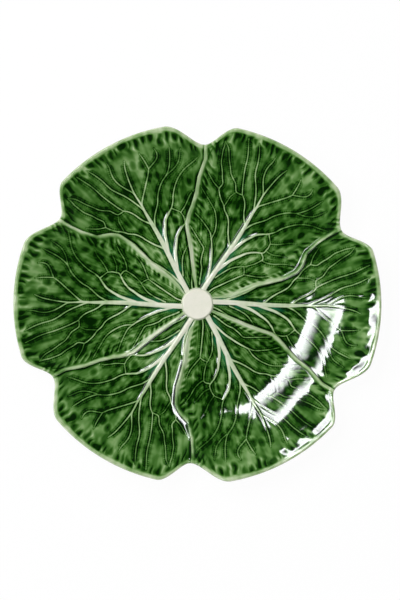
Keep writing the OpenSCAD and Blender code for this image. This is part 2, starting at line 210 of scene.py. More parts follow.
# %% [markdown]
# ## The veins
# A cabbage leaf has one thick midrib, side veins that fork from it, and thin links that
# join them. Each course below is a list of places across and out along the leaf, with the
# width of the line that shows there. The first two numbers say how bare of glaze the
# vein's crest is at its root and at its tip, from 0, as covered as a vein gets, to 1,
# which is bare clay.
# %% List the veins
VEINS = {
    "midrib": (0.96, 0.62, [
        (-2.2, 10.1, 3.98), (-2.2, 21.7, 3.77), (-1.8, 36.2, 3.62), (-1.4, 50.7, 3.33),
        (-1.7, 65.2, 2.9), (-2.2, 76, 2.03), (-2.2, 83.3, 1.59), (-2.9, 92.7, 1.16),
        (-2.2, 101.4, 0.94), (-1.1, 108.6, 0.8), (0, 113, 0.72), (1.8, 117.3, 0.65)
    ]),
    "left_a": (0.93, 0.66, [
        (-2.2, 10.5, 0.9), (-3.3, 17.4, 1.74), (-5.1, 23.2, 1.59), (-7.2, 29, 1.45),
        (-10.9, 36.2, 1.3), (-14.5, 42, 1.09), (-17.4, 46.3, 0.87)
    ]),
    "left_a1": (0.6, 0.4, [
        (-16.7, 44.9, 0.8), (-20.3, 49.2, 0.72), (-26.1, 52.1, 0.65), (-31.9, 54.3, 0.62),
        (-37.7, 55.8, 0.58)
    ]),
    "left_a2": (0.62, 0.38, [
        (-17.4, 46.3, 0.8), (-18.1, 52.1, 0.72), (-20.3, 57.2, 0.72), (-23.2, 61.5, 0.65),
        (-26.8, 65.2, 0.58), (-31.9, 68.1, 0.51), (-37.7, 71, 0.47), (-44.9, 74.6, 0.43)
    ]),
    "left_b": (0.72, 0.6, [
        (-1.6, 42.3, 0.8), (-2.9, 47.8, 1.45), (-6.5, 52.1, 1.16), (-10.1, 57.2, 1.01),
        (-13, 62.3, 0.94), (-15.9, 65.9, 0.87), (-20.3, 68.8, 0.87), (-23.2, 71.7, 0.87),
        (-27.5, 74.6, 0.87), (-31.1, 78.2, 0.8), (-32.6, 80.4, 0.8)
    ]),
    "left_b1": (0.6, 0.38, [
        (-32.6, 80.4, 0.72), (-37.7, 81.8, 0.65), (-42, 84, 0.58), (-45.6, 86.2, 0.51)
    ]),
    "left_b2": (0.62, 0.42, [
        (-32.6, 80.4, 0.8), (-32.2, 84.7, 0.8), (-34.8, 88.3, 0.8), (-37.7, 92.7, 0.72),
        (-41.3, 97, 0.72), (-43.4, 101.4, 0.65), (-44.9, 105, 0.65), (-45.6, 107.9, 0.58),
        (-47.1, 111.5, 0.58)
    ]),
    "left_b3": (0.5, 0.36, [
        (-22.4, 71.7, 0.58), (-22.4, 76, 0.51), (-22.4, 79.6, 0.51), (-21.4, 82.5, 0.43),
        (-20.3, 84.7, 0.43)
    ]),
    "left_c": (0.68, 0.6, [
        (-1.8, 63.4, 0.8), (-2.9, 68.1, 1.3), (-5.8, 71.7, 1.01), (-8, 75.3, 0.94),
        (-10.1, 79.6, 0.87), (-13, 83.3, 0.87), (-15.9, 85.4, 0.87)
    ]),
    "left_c1": (0.6, 0.42, [
        (-15.9, 85.4, 0.8), (-18.1, 89.1, 0.8), (-20.3, 93.4, 0.72), (-22.4, 97.7, 0.72),
        (-24.6, 102.8, 0.72), (-26.1, 107.2, 0.65), (-28.2, 112.2, 0.65), (-31.1, 117.3, 0.58),
        (-34, 122.4, 0.51)
    ]),
    "left_c2": (0.58, 0.4, [
        (-15.9, 85.1, 0.72), (-20.3, 84.7, 0.72), (-22.4, 86.9, 0.72), (-24.6, 89.8, 0.65),
        (-28.2, 92, 0.65), (-31.1, 94.1, 0.65), (-34, 97.7, 0.58), (-37.7, 102.1, 0.58),
        (-41.3, 107.2, 0.58), (-43.4, 109.3, 0.51), (-47.1, 111.5, 0.51)
    ]),
    "left_d": (0.66, 0.44, [
        (-2.2, 76, 0.7), (-2.9, 80.4, 1.16), (-5.1, 85.4, 1.01), (-7.2, 89.8, 0.94),
        (-10.1, 94.8, 0.87), (-13, 98.5, 0.87), (-15.9, 102.8, 0.8), (-17.4, 106.4, 0.8),
        (-18.8, 110.8, 0.72), (-21, 115.8, 0.72), (-23.9, 120.9, 0.58), (-25.3, 123.1, 0.51)
    ]),
    "left_e": (0.6, 0.42, [
        (-2.9, 90, 0.6), (-3.6, 94.1, 0.94), (-6.5, 98.5, 0.87), (-9.4, 103.5, 0.8),
        (-10.9, 108.6, 0.72), (-10.9, 113, 0.65), (-10.1, 117.3, 0.58), (-10.1, 121.6, 0.51)
    ]),
    "left_f": (0.62, 0.4, [
        (-6.5, 13, 1.01), (-8, 15.9, 0.94), (-11.6, 23.9, 0.8), (-14.5, 27.5, 0.72),
        (-16.7, 32.6, 0.72), (-18.1, 36.9, 0.65), (-21.7, 39.1, 0.65), (-26.1, 41.3, 0.58),
        (-30.4, 43.4, 0.58), (-36.2, 46.3, 0.51)
    ]),
    "right_a": (0.95, 0.72, [
        (-1.7, 25.5, 1.1), (0.4, 33.3, 2.46), (2.9, 39.8, 2.17), (6.5, 45.6, 1.81),
        (10.1, 50.7, 1.45), (14.5, 54.3, 1.3), (18.8, 56.5, 1.09)
    ]),
    "right_a1": (0.66, 0.56, [
        (18.8, 56.5, 0.94), (20.3, 57.9, 0.87), (20.6, 60.1, 0.8), (21, 62.3, 0.8),
        (20.6, 65.5, 0.72)
    ]),
    "right_a2": (0.6, 0.4, [
        (18.8, 56.5, 0.87), (21.7, 54.3, 0.8), (22.8, 52.1, 0.72), (27.5, 52.9, 0.72),
        (31.9, 55, 0.65), (36.2, 57.9, 0.58), (42, 60.8, 0.51)
    ]),
    "right_a3": (0.52, 0.38, [
        (20.6, 59.7, 0.65), (23.9, 59.4, 0.65), (27.5, 60.1, 0.58), (31.9, 62.3, 0.51),
        (36.2, 63.7, 0.43)
    ]),
    "right_a4": (0.55, 0.38, [
        (20.6, 65.5, 0.72), (25.3, 68.1, 0.65), (29, 71, 0.65), (32.6, 73.9, 0.58),
        (36.9, 76, 0.51)
    ]),
    "right_a5": (0.5, 0.5, [
        (22.4, 52.9, 0.65), (19.5, 47.8, 0.58), (15.9, 43.4, 0.58), (13.8, 41.3, 0.58)
    ]),
    "right_b": (0.95, 0.7, [
        (-1.4, 40.5, 1.1), (0.4, 47.8, 2.32), (2.9, 55.8, 2.17), (5.8, 61.5, 1.81),
        (8.7, 65.9, 1.59), (12.3, 68.8, 1.45), (15.9, 71.3, 1.16)
    ]),
    "right_b1": (0.6, 0.56, [
        (15.9, 71.3, 0.87), (18.1, 68.8, 0.72), (20.6, 65.9, 0.65)
    ]),
    "right_b2": (0.64, 0.42, [
        (15.9, 71.3, 0.94), (18.8, 74.6, 0.8), (21.7, 79.6, 0.8), (25.3, 84, 0.72),
        (29, 87.6, 0.72), (33.3, 90.5, 0.65), (38.4, 92.7, 0.65), (44.9, 94.1, 0.58),
        (50.7, 95.6, 0.51)
    ]),
    "right_c": (0.66, 0.42, [
        (-1.6, 61.5, 0.7), (0, 66.6, 1.16), (2.2, 71, 0.94), (5.1, 74.6, 0.87), (8.7, 78.9, 0.8),
        (11.6, 84, 0.8), (15.2, 88.3, 0.8), (19.5, 92, 0.72), (24.6, 94.8, 0.72),
        (28.2, 98.5, 0.72), (31.1, 102.8, 0.65), (33.3, 107.2, 0.65), (35.5, 112.2, 0.58)
    ]),
    "right_c2": (0.46, 0.34, [
        (25.3, 94.8, 0.58), (31.1, 96.3, 0.58), (36.2, 99.2, 0.51), (39.1, 102.8, 0.51),
        (42, 107.2, 0.43)
    ]),
    "right_d": (0.66, 0.56, [
        (-2.2, 79.5, 0.7), (-1.4, 84, 1.09), (0.7, 86.9, 0.94), (4.3, 91.2, 0.87),
        (8.7, 96.3, 0.87), (12.3, 100.6, 0.87), (14.8, 104.3, 0.8)
    ]),
    "right_d1": (0.55, 0.42, [
        (14.8, 104.3, 0.72), (14.8, 108.6, 0.65), (14.5, 113, 0.65), (13.8, 117.3, 0.58)
    ]),
    "right_d2": (0.56, 0.42, [
        (14.8, 104.3, 0.72), (18.1, 105.7, 0.72), (21.7, 107.2, 0.65), (24.3, 109.3, 0.65),
        (25.3, 112.2, 0.58), (25, 115.8, 0.58)
    ]),
    "right_f": (0.66, 0.5, [
        (0.4, 23.2, 1.01), (2.2, 27.5, 0.87), (4.3, 31.9, 0.8), (6.5, 35.5, 0.72),
        (9.4, 38.4, 0.72), (13.4, 41.3, 0.65)
    ]),
    "right_g": (0.68, 0.5, [
        (1.8, 10.9, 1.09), (2.2, 12.3, 1.01), (3.6, 15.9, 0.94), (7.2, 21.7, 0.87),
        (10.9, 27.5, 0.8), (13.8, 31.9, 0.8), (16.7, 36.2, 0.72)
    ]),
    "right_g1": (0.5, 0.5, [
        (13.4, 41.3, 0.58), (15.2, 39.1, 0.58), (16.7, 36.2, 0.58)
    ]),
    "right_g2": (0.55, 0.38, [
        (16.7, 36.2, 0.65), (20.3, 37.7, 0.65), (25.3, 39.8, 0.58), (29, 42, 0.51),
        (33.3, 45.6, 0.43)
    ]),
}
print(len(VEINS), "veins on each leaf")

# %% [markdown]
# Between the veins a few small round hollows were pressed in with a rounded stick. Each
# row gives the place, across and out, and the radius.
# %% List the hollows
HOLLOWS = [
    (-40.5, 62.3, 1.6), (-29, 60.1, 1.6), (-28.2, 47.8, 1.6), (-9.4, 44.9, 1.6),
    (-10.1, 66.6, 1.6), (-16.7, 76.7, 2.7), (-26.8, 84, 1.6), (14.5, 62.3, 1.6),
    (24.6, 46.3, 1.6), (19.5, 30.4, 1.6), (16.7, 24.6, 1.6), (39.8, 55, 1.6),
    (5.8, 111.5, 1.6), (10.9, 108.6, 1.6), (18.1, 97, 1.6), (36.2, 82.5, 1.6),
    (45.6, 76, 1.6), (42, 115.8, 1.6), (31.1, 117.3, 1.6)
]
print(len(HOLLOWS), "hollows on each leaf")

# %% [markdown]
# ## How far a place is from a vein
# The courses have few points, so a curve is laid through them first. Then we ask, for each
# corner of the leaf's faces, how near the nearest vein is. That one distance gives
# the ridge's height, the bare line on its crest and the groove beside it, and it could
# be found by painting by hand, but a formula keeps all six leaves alike.
# %% Lay a curve through a course


def flowing(course, steps=4):
    """A smooth curve through the points of a course"""
    points = np.array(course, float)
    before = np.vstack([2 * points[:1] - points[1:2], points[:-1]])
    after = np.vstack([points[1:], 2 * points[-1:] - points[-2:-1]])
    slopes = (after - before) / 2
    line = []
    for i in range(len(points) - 1):
        for t in np.arange(steps) / steps:
            line.append(
                (2 * t**3 - 3 * t**2 + 1) * points[i] + (t**3 - 2 * t**2 + t) * slopes[i]
                + (3 * t**2 - 2 * t**3) * points[i + 1] + (t**3 - t**2) * slopes[i + 1])
    return np.array(line + [points[-1]])


def nearest_on(line, across, out):
    """Distance to a curve, its width there, and the way along it, for many places"""
    steps = np.hypot(*(line[1:, :2] - line[:-1, :2]).T)
    way = np.concatenate([[0], np.cumsum(steps)])
    best = np.full(across.shape, np.inf)
    width, along = np.zeros(across.shape), np.zeros(across.shape)
    for i, step in enumerate(steps):
        start, move = line[i], line[i + 1] - line[i]
        share = np.clip(((across - start[0]) * move[0] + (out - start[1]) * move[1])
                        / step ** 2, 0, 1)
        gap = np.hypot(across - start[0] - share * move[0], out - start[1] - share * move[1])
        closer = gap < best
        best = np.where(closer, gap, best)
        width = np.where(closer, start[2] + share * move[2], width)
        along = np.where(closer, way[i] + share * step, along)
    return best, width, along, way[-1]


print("the midrib's curve has", len(flowing(VEINS["midrib"][2])), "points")

# %% [markdown]
# A vein is a low ridge with a wide foot. Its crest is rubbed nearly bare, in a line with
# a soft edge, and the line pales towards the vein's tip. Only between two thick ribs,
# right at the stalk, does the glaze gather so deep that it turns blue-green.
# %% Turn the distance into marks
FAR = 9.0
SOFT_EDGE, FOOT_REACH = 0.28, 0.75
RIDGE_LOW, RIDGE_RISE, THIN_VEIN = 0.035, 0.31, 0.9
LEAST_BARE, MOST_BARE = 0.56, 0.97
WAY_SHIFT = 7.3


def vein_relief(across, out):
    """What the veins do at many places of a leaf"""
    shape = {"near": np.full(across.shape, FAR), "way": np.zeros(across.shape)}
    for name in ("ridge", "bare", "thick", "tint"):
        shape[name] = np.zeros(across.shape)
    for number, (root, tip, course) in enumerate(VEINS.values()):
        line = flowing(course)
        low, high = line.min(0) - FAR, line.max(0) + FAR
        here = np.flatnonzero((across > low[0]) & (across < high[0])
                              & (out > low[1]) & (out < high[1]))
        gap, width, along, length = nearest_on(line, across[here], out[here])
        # The groove beside a vein dies out at the vein's tip.
        ending = span(along, length - np.minimum(4, 0.3 * length), length)
        near = np.minimum(np.maximum(gap - width / 2, 0) + 2.5 * ending * span(gap, 0, 1), FAR)
        height = RIDGE_LOW + RIDGE_RISE * np.maximum(width - THIN_VEIN, 0)
        foot = width / 2 + FOOT_REACH
        ridge = height * np.clip(1 - (gap / foot) ** 2.5, 0, 1) ** 1.5
        crest = LEAST_BARE + (1 - LEAST_BARE) * (root + (tip - root) * along / length)
        bare = np.minimum(crest, MOST_BARE) * (
            1 - span(gap, width / 2 - SOFT_EDGE, width / 2 + SOFT_EDGE))
        thick = span(root, 0.8, 0.92) * span(width, 1.1, 1.8) * hump(near, 2.4)
        tint = np.minimum(thick, shape["thick"][here])
        closer = near < shape["near"][here]
        shape["near"][here] = np.where(closer, near, shape["near"][here])
        shape["way"][here] = np.where(closer, along + WAY_SHIFT * number, shape["way"][here])
        for name, value in (("ridge", ridge), ("bare", bare), ("thick", thick), ("tint", tint)):
            shape[name][here] = np.maximum(shape[name][here], value)
    return shape


at_root = vein_relief(*np.array(VEINS["midrib"][2][:1])[:, :2].T)
print("the midrib's root stands", round(float(at_root["ridge"][0]), 2), "mm high")

# %% [markdown]
# Wet glaze and soft clay are uneven in an even way: no lump is like the next, yet all are
# about the same size. Random values on a grid, with soft steps between them, do that.
# %% Make soft lumps
GRID = 256


def lumps(across, out, pitch, seed):
    """Smooth random values from -1 to 1 that change once every pitch"""
    values = np.random.default_rng(seed).uniform(-1, 1, (GRID, GRID))
    i, j = across / pitch + 128.4, out / pitch + 64.3
    i0, j0 = np.floor(i).astype(int), np.floor(j).astype(int)
    s, t = smooth(i - i0), smooth(j - j0)
    corner = [values[(i0 + a) % GRID, (j0 + b) % GRID] for a in (0, 1) for b in (0, 1)]
    return ((corner[0] * (1 - t) + corner[1] * t) * (1 - s)
            + (corner[2] * (1 - t) + corner[3] * t) * s)


print("a lump's height at one place:", round(float(lumps(0.0, 0.0, 5, 1)), 2))

# %% [markdown]
# ## Shaping a leaf
# A real leaf could be sculpted, but a sheet whose corners are moved by formulas keeps the
# plate's own measures and is easy to change. The sheet is a flat grid at first: one way
# runs across the leaf, the other from the stalk out to the rim. More columns are packed
# into the last few millimetres beside each edge, where the lip has to be round.
# %% Place the sheet's corners
COLUMNS, ROWS, COARSE = 320, 264, 4
NOSE_ROWS, EDGE_COLUMNS = 3 * COARSE, 10
EVEN_ROWS, EVEN_OUT = 0.8, 0.85
EDGE_MM = [0, 0.1, 0.25, 0.45, 0.7, 1.0, 1.35, 1.75, 2.2, 2.7, 3.3]
# Where half a leaf is narrower than this, its packed columns move closer too.
ROOMY = 9
# A lower leaf reaches this far under its neighbours, and every leaf starts under the stalk.
TUCK = 1.4
START_SHARE = 0.62 * STALK_SHARE


def row_places(v):
    """The share of the way out, and how far round the rim's nose from 0 to 1"""
    nose = NOSE_ROWS / ROWS
    out = np.interp(v, [0, EVEN_ROWS * (1 - nose), 1 - nose], [START_SHARE, EVEN_OUT, 1])
    return out, np.clip((v - (1 - nose)) / nose, 0, 1)


def column_places(u, out, upper):
    """Each corner's angle, its millimetres to the side, and 0 to 1 from middle to side"""
    left = lookup(out, LEFT_SIDE) if upper else LEAF_TURN - lookup(out, RIGHT_SIDE)
    right = lookup(out, RIGHT_SIDE) if upper else LEAF_TURN - lookup(out, LEFT_SIDE)
    side = np.where(u > 0, left, right)
    radius = out * edge_r(side)
    if not upper:
        side = side + np.degrees(TUCK / radius)
    half = np.radians(side) * radius
    scale = np.minimum(1, half / ROOMY)
    packed = 2 * EDGE_COLUMNS / COLUMNS
    inner = (half - EDGE_MM[-1] * scale) * np.abs(u) / (1 - packed)
    outer = half - scale * np.interp((1 - np.abs(u)) * COLUMNS / 2,
                                     range(EDGE_COLUMNS + 1), EDGE_MM)
    arc = np.where(np.abs(u) < 1 - packed, inner, outer)
    return np.sign(u) * side * arc / half, half - arc, np.abs(arc / half)


print("a sheet has", COLUMNS, "by", ROWS, "faces on its front")

# %% [markdown]
# The potter's tools leave their own marks. Glaze levels out as it melts, so the marks are
# shallow, and the colour tells more than the height does. Every mark therefore gives two
# numbers, a height and a change in the thickness of the glaze. The first marks are short
# folds, pressed in side by side along an edge: a dark wedge with a light line beside it.
# %% Press folds along an edge
FOLD_PITCH, FOLD_SHIFT = 5.2, 1.2
FOLD_START, FOLD_LENGTH, FOLD_WIDTH = (1.5, 3.1), (4.5, 11), (0.95, 1.65)
FLANK_AT, FLANK_WIDTH = 2.1, 0.7


def folds(along, inwards, seed):
    """Short wedges that start at an edge and run inwards, each with a light flank"""
    number = np.round(along / FOLD_PITCH)
    chance = np.random.default_rng(seed).uniform(0, 1, (GRID, 4))[number.astype(int) % GRID]
    start = np.interp(chance[..., 0], (0, 1), FOLD_START)
    length = np.interp(chance[..., 1], (0, 1), FOLD_LENGTH)
    past = inwards - start
    gap = along - FOLD_PITCH * number + FOLD_SHIFT * (chance[..., 2] - 0.5)
    width = np.interp(chance[..., 3], (0, 1), FOLD_WIDTH) * (1 - 0.6 * span(past, 0, length))
    shown = span(past, -0.6, 1) * (1 - span(past, 0.5 * length, length))
    return shown * hump(gap, width), shown * hump(gap - FLANK_AT, FLANK_WIDTH)


print("there is a fold every", FOLD_PITCH, "mm")

# %% [markdown]
# The rest of a leaf's face is the ridge of each vein with a fine groove beside it, leaf
# flesh that swells between the veins, and the hollows. Glaze runs down the wall while it
# melts and gathers where the wall begins. A few millimetres before the edge the folds and
# some bulges make a belt, and the lip itself is smooth and thinly glazed.
# %% Mark the flesh and the hollows
FLESH_REACH, FLESH_HEIGHT = 3.5, 0.03
SWELL_PITCH, SWELL_HEIGHT = 13, 0.05
PATCH_PITCH = 5.5
USUAL_GLAZE, FLESH_GLAZE, PATCH_GLAZE = 1.3, -0.55, -0.25
RUN_GLAZE = [(0.1, -0.12), (0.42, -0.15), (0.56, 0.15), (0.76, 0.12), (0.87, 0), (0.94, 0.08)]
# Distance from a vein, width and glaze of the groove, and of a fainter line past it
GROOVES = [(0.55, 0.45, 0.75), (2.2, 0.4, 0.25)]
HOLLOW_LONG, HOLLOW_HEIGHT, HOLLOW_GLAZE, HOLLOW_RING = 1.3, -0.04, 0.75, -0.2


def flesh_relief(across, out_mm, out, veins):
    """Height and thickness of glaze that the veins, the flesh and the hollows give"""
    near = veins["near"]
    flesh = smooth(near / FLESH_REACH)
    swell = lumps(across, out_mm, SWELL_PITCH, 3)
    patch = lumps(across + 0.3 * out_mm, out_mm, PATCH_PITCH, 4)
    height = (FLESH_HEIGHT * flesh + SWELL_HEIGHT * swell) * span(out, 0.12, 0.3)
    height = height + veins["ridge"]
    glaze = (USUAL_GLAZE + lookup(out, RUN_GLAZE) + FLESH_GLAZE * flesh
             + PATCH_GLAZE * patch * flesh)
    for place, width, more in GROOVES:
        glaze = glaze + more * hump(near - place, width)
    for x, y, radius in HOLLOWS:
        from_hollow = np.hypot(across - x, (out_mm - y) / HOLLOW_LONG) / radius
        hollow = hump(from_hollow, 1.3)
        height = height + HOLLOW_HEIGHT * hollow
        glaze = glaze + HOLLOW_GLAZE * hollow + HOLLOW_RING * hump(from_hollow - 1.9, 0.5)
    return height, glaze


# %% Mark the rim
RIM_R = 120
FOLD_WANDER, FOLD_HEIGHT, FOLD_GLAZE, FLANK_GLAZE = 2.2, -0.005, 0.95, -0.35
BELT_HEIGHT, BULGE_HEIGHT, RIPPLE_GLAZE, BELT_GLAZE = 0.14, 0.3, 0.4, 0.14
LIP_START_MM, LIP_END_MM, LIP_WANDER, LIP_BARE = 0.7, 2.6, 1.2, 0.61


def leaf_relief(across, out_mm, out, rim, side, upper):
    """Height, thickness of glaze and bareness at many places of a leaf, and its veins"""
    veins = vein_relief(across, out_mm)
    height, glaze = flesh_relief(across, out_mm, out, veins)

    # Folds crowd along the rim, and along an upper leaf's free sides.
    around = np.arctan2(-across, out_mm) * RIM_R
    dark, light = folds(around + FOLD_WANDER * lumps(around, rim, 5, 5), rim, 6)
    if upper:
        free = span(out, 0.42, 0.6)
        side_dark, side_light = folds(
            out_mm + 0.4 * side + FOLD_WANDER * lumps(out_mm, side, 5, 11), side - 0.7, 12)
        dark = np.maximum(dark, free * side_dark)
        light = np.maximum(light, free * side_light)
    belt = span(rim, 1.4, 2.4) * (1 - span(rim, 8, 15))
    ripple = lumps(around + 0.5 * rim, 0.6 * rim, 3, 8)
    bulge = (BELT_HEIGHT * belt * lumps(around - 0.2 * rim, 0.6 * rim, 11, 9)
             + BULGE_HEIGHT * span(rim, 1.5, 9) * (1 - span(rim, 9, 22))
             * lumps(around + 0.3 * rim, 0.2 * rim, 6, 7))
    height = height + bulge + FOLD_HEIGHT * dark
    glaze = (glaze + FOLD_GLAZE * dark + FLANK_GLAZE * light + RIPPLE_GLAZE * ripple * belt
             + BELT_GLAZE * (belt - hump(rim - 3, 1.4)))

    lip_end = LIP_END_MM + LIP_WANDER * lumps(around, 0 * rim, 25, 8)
    lip = 1 - span(rim, LIP_START_MM, lip_end)
    bare = np.maximum(veins["bare"] * (1 - lip), LIP_BARE * lip)
    return height * (1 - lip), glaze, bare, veins


# %% [markdown]
# Along an upper leaf's sides the glaze runs off a bead, fuller on the left, and near the
# stalk the leaf is pleated. A lower leaf ends under that bead. The glaze pools in the
# corner between the two, in a fillet on one side and over a fine crease on the other.
# The dark line beside the bead, which makes the upper leaf stand out, is partly that pool
# and partly the upper leaf's shadow, painted into the lower leaf as thicker glaze.
# %% Put the marks along a leaf's sides
POOL_HEIGHT, POOL_REACH = 0.5, 3.2
CREASE_HEIGHT, CREASE_AT, CREASE_WIDTH = -0.12, 0.3, 0.9
SHADOW_GLAZE, SHADOW_WIDTH = 1.5, 1.1
PLEAT_PITCH, PLEAT_WANDER, PLEAT_HEIGHT = 3.6, 2.5, 0.1
SIDE_GLAZE, PLEAT_GLAZE, BESIDE_GLAZE = 0.35, 0.55, -0.35
BEAD_BARE, LEFT_BEAD_BARE = 0.52, 0.18


def side_relief(out, out_mm, side, left, upper):
    """Height, glaze with a painted shadow in it, and bareness that a leaf's two sides add"""
    if not upper:
        shown = side - TUCK
        fillet = np.clip(1 - shown / POOL_REACH, 0, 1) ** 2 * span(out, 0.2, 0.3)
        crease = hump(shown - CREASE_AT, CREASE_WIDTH)
        height = POOL_HEIGHT * left * fillet + CREASE_HEIGHT * (1 - left) * crease
        # Painted shadow: the lower leaf's glaze thickens beside the upper leaf's edge, for its
        # shadow as well as for pooled glaze.
        return height, SHADOW_GLAZE * hump(shown, SHADOW_WIDTH), 0 * side
    near_stalk = span(out, 0.1, 0.16) * (1 - span(out, 0.45, 0.6))
    wander = PLEAT_WANDER * lumps(out_mm, 0 * side, 9, 10)
    pleat = np.cos(2 * pi * out_mm / PLEAT_PITCH + wander)
    height = PLEAT_HEIGHT * hump(side - 4.2, 2) * near_stalk
    glaze = (SIDE_GLAZE * hump(side - 2.9, 0.7) * (1 - near_stalk)
             + near_stalk * (PLEAT_GLAZE * hump(side - 5.2, 1.6) * (0.3 + pleat)
                             + BESIDE_GLAZE * hump(side - 2.6, 1.4)))
    bead = 1 - span(side, 1 + 0.8 * left, 2.6 + left)
    return height, glaze, (BEAD_BARE + LEFT_BEAD_BARE * left) * bead


# %% [markdown]
# Now the face gets its place. The marks are added to the wall's height, an upper leaf
# curls up and rounds off along its sides, and a lower leaf's border sinks out of sight
# below it. Beside a notch the wall lies back a little over its last few millimetres.
# At the rim the glaze rounds the edge, which we call its nose, down to its widest place.
# %% Sink the rim and the hidden borders
BACK_SLOPE, BACK_START, BACK_EVEN = 0.05, 9, 6
DIP_DEPTH = 0.2
TUCK_DEPTH, TUCK_IN, TUCK_SOFT = 0.9, 0.8, 0.6


def lie_back(rim, angle):
    """How far the wall sinks as it nears a notch, and in the shallow dip before the rim"""
    ease = BACK_START - BACK_EVEN
    sunk = np.clip(BACK_START - rim, 0, ease) ** 2 / (2 * ease) + np.maximum(BACK_EVEN - rim, 0)
    slope = BACK_SLOPE * span(np.abs(from_tip(angle)), 18, 29)
    return slope * sunk + DIP_DEPTH * span(rim, 6.5, 12) * (1 - span(rim, 12, 32))


def tucked(side, out):
    """How far a lower leaf's hidden border sinks, and how far it is drawn in"""
    hidden = span(TUCK - side, 0, TUCK_SOFT)
    return TUCK_DEPTH * hidden, TUCK_IN * hidden * span(out, 0.9, 1)


print("beside a notch the edge sinks", round(float(lie_back(0, HALF_LEAF)), 2), "mm")

# %% Shape a leaf's face
LIP_ROUND, LIP_DROP = 1.2, 0.6
BELOW_RIM = 0.02
LEAST_GLAZE, MOST_GLAZE, NOSE_LOSS = 0.3, 2, 0.6


def front_corners(u, v, upper):
    """Places and marks of the face's corners"""
    out, nose = row_places(v)
    angle, side, aside = column_places(u, out, upper)
    radius = out * edge_r(angle)
    out_mm, across = radius * np.cos(np.radians(angle)), -radius * np.sin(np.radians(angle))
    rim = (1 - out) * edge_r(angle)
    height, glaze, bare, veins = leaf_relief(across, out_mm, out, rim, side, upper)
    more_height, more_glaze_and_shadow, side_bare = side_relief(
        out, out_mm, side, span(angle, -5, 5), upper)
    bare = np.maximum(bare, side_bare)

    z = top_z(out, angle) + height + more_height - lie_back(rim, angle)
    if upper:
        z = z + curl(out, aside)
        drop = 1 - np.sqrt(1 - np.clip(1 - side / LIP_ROUND, 0, 1) ** 2)
        z = z + (top_z(out, angle) - LIP_DROP - z) * drop
    else:
        sunk, drawn_in = tucked(side, out)
        z, radius = z - sunk, radius - drawn_in
    z = np.minimum(z, RIM_Z - BELOW_RIM)

    turn = nose * pi / 2
    radius = radius + EDGE_ROUND * np.sin(turn)
    z = z - EDGE_T / 2 * (1 - np.cos(turn))
    # On a lower leaf the sides' extra glaze is pooled glaze and a painted shadow of the upper
    # leaf.
    depth = np.clip(glaze + more_glaze_and_shadow, LEAST_GLAZE, MOST_GLAZE)
    return radius, angle, z, {
        "glaze_depth": depth * (1 - bare) * (1 - NOSE_LOSS * nose),
        "sea_tint": veins["tint"] * (1 - bare),
        "vein_near": veins["near"], "vein_way": veins["way"]
    }


# %% [markdown]
# The mould's back has only a soft, broad rib under each midrib, and a brushed coat of
# even glaze that thins towards the rim. Its nose meets the face's at the widest place.
# %% Shape a leaf's back
RIB_DEPTH, RIB_WIDTH = 0.6, 4
BACK_GLAZE, BACK_RIM_LOSS = 0.95, 0.35
BACK_TURN = 0.4 * pi


def back_corners(u, v, upper):
    """Places and marks of the back's corners"""
    out, nose = row_places(v)
    angle, side, _ = column_places(u, out, upper)
    radius = out * edge_r(angle)
    rib = hump(np.radians(angle) * radius, RIB_WIDTH)
    z = under_z(out, angle) - RIB_DEPTH * rib * span(out, 0.6, 0.7) * (1 - span(out, 0.8, 0.95))
    if not upper:
        sunk, drawn_in = tucked(side, out)
        z, radius = z + sunk, radius - drawn_in
    radius = radius + EDGE_ROUND * np.sin(nose * BACK_TURN)
    z = z + EDGE_T / 2 * (1 - np.cos(nose * BACK_TURN))
    none = np.zeros(u.shape)
    return radius, angle, z, {
        "glaze_depth": BACK_GLAZE - BACK_RIM_LOSS * np.maximum(nose, span(out, 0.95, 1)),
        "sea_tint": none, "vein_near": none + FAR, "vein_way": none
    }


# %% [markdown]
# ## Making the sheet
# The front is a fine grid and the back a coarse one, held a little apart. The coarse
# grid's border is cut until it has as many edges as the fine one, and a bridge between
# the two borders closes the shell. All of that happens while the sheet is still a flat
# square, where it is easy, and only then are the corners moved to their places. A
# Solidify modifier would be quicker, but it would copy every vein to the back.
# %% Make a flat sheet


def border_edges(mesh, side):
    """The open edges of the front, side 1, or of the back, side -1"""
    return [e for e in mesh.edges if e.is_boundary and e.verts[0].co.z * side > 0]


def flat_sheet():
    """A closed flat box: fine faces above, coarse faces below"""
    mesh = bmesh.new()
    bmesh.ops.create_grid(mesh, x_segments=COLUMNS, y_segments=ROWS, size=1,
                          matrix=Matrix.Translation((0, 0, 1)))
    bmesh.ops.create_grid(mesh, x_segments=COLUMNS // COARSE, y_segments=ROWS // COARSE,
                          size=1, matrix=Matrix.Translation((0, 0, -1)))
    bmesh.ops.subdivide_edges(mesh, edges=border_edges(mesh, -1), cuts=COARSE - 1)
    bmesh.ops.bridge_loops(mesh, edges=border_edges(mesh, 1) + border_edges(mesh, -1))
    bmesh.ops.recalc_face_normals(mesh, faces=mesh.faces)
    return mesh


# %% Shape one sheet for each kind of leaf


